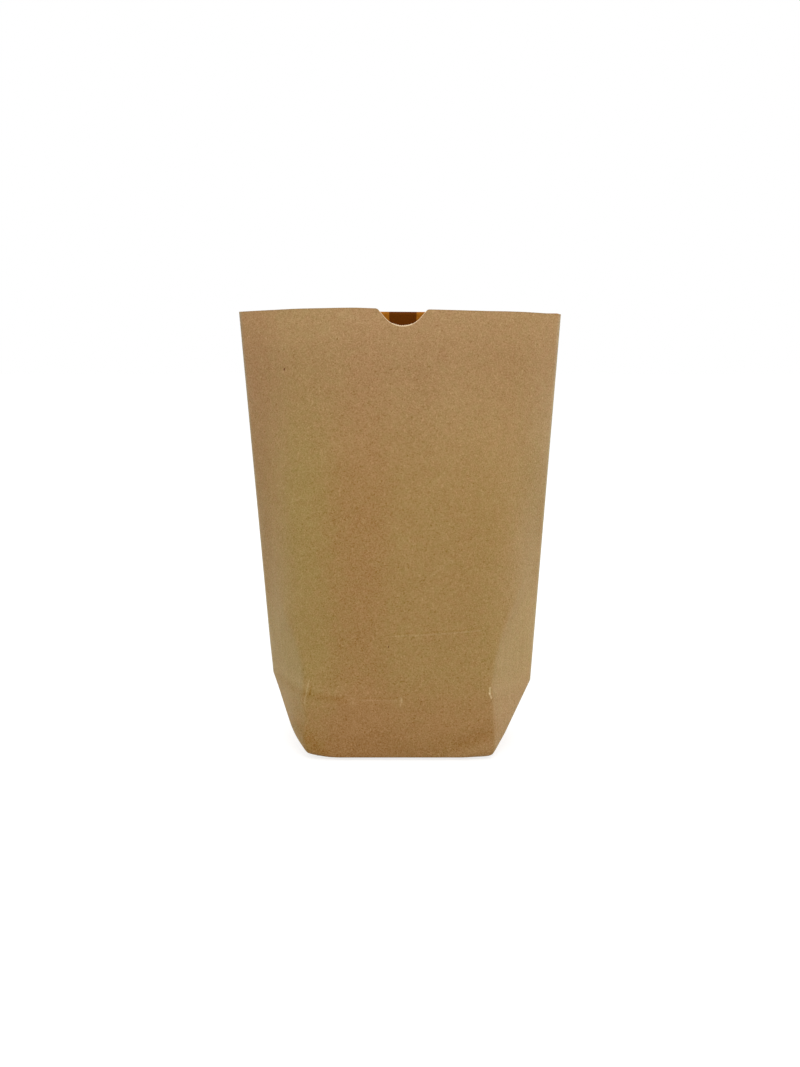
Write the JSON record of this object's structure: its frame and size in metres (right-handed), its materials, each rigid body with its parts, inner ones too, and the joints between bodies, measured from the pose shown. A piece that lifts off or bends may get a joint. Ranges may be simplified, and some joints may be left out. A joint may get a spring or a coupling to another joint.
{
  "type": "kraft paper bag",
  "caption": "Open kraft paper bag with a flat glued six-sided bottom, side ears, a lens-shaped mouth and a thumb notch in the front panel",
  "frame": {"origin": "centre of the base, on the surface that the bag stands on", "axes": "X is the bag's width from side crease to side crease, Y is its depth with the notched front panel at -Y, Z is its height"},
  "size_m": [0.1522, 0.0704, 0.2087],
  "materials": {
    "kraft_paper": "unbleached brown kraft paper, matt, finely mottled with darker fibres"
  },
  "bodies": {
    "root": {"kraft_bag": "kraft_paper"}
  },
  "joints": []
}
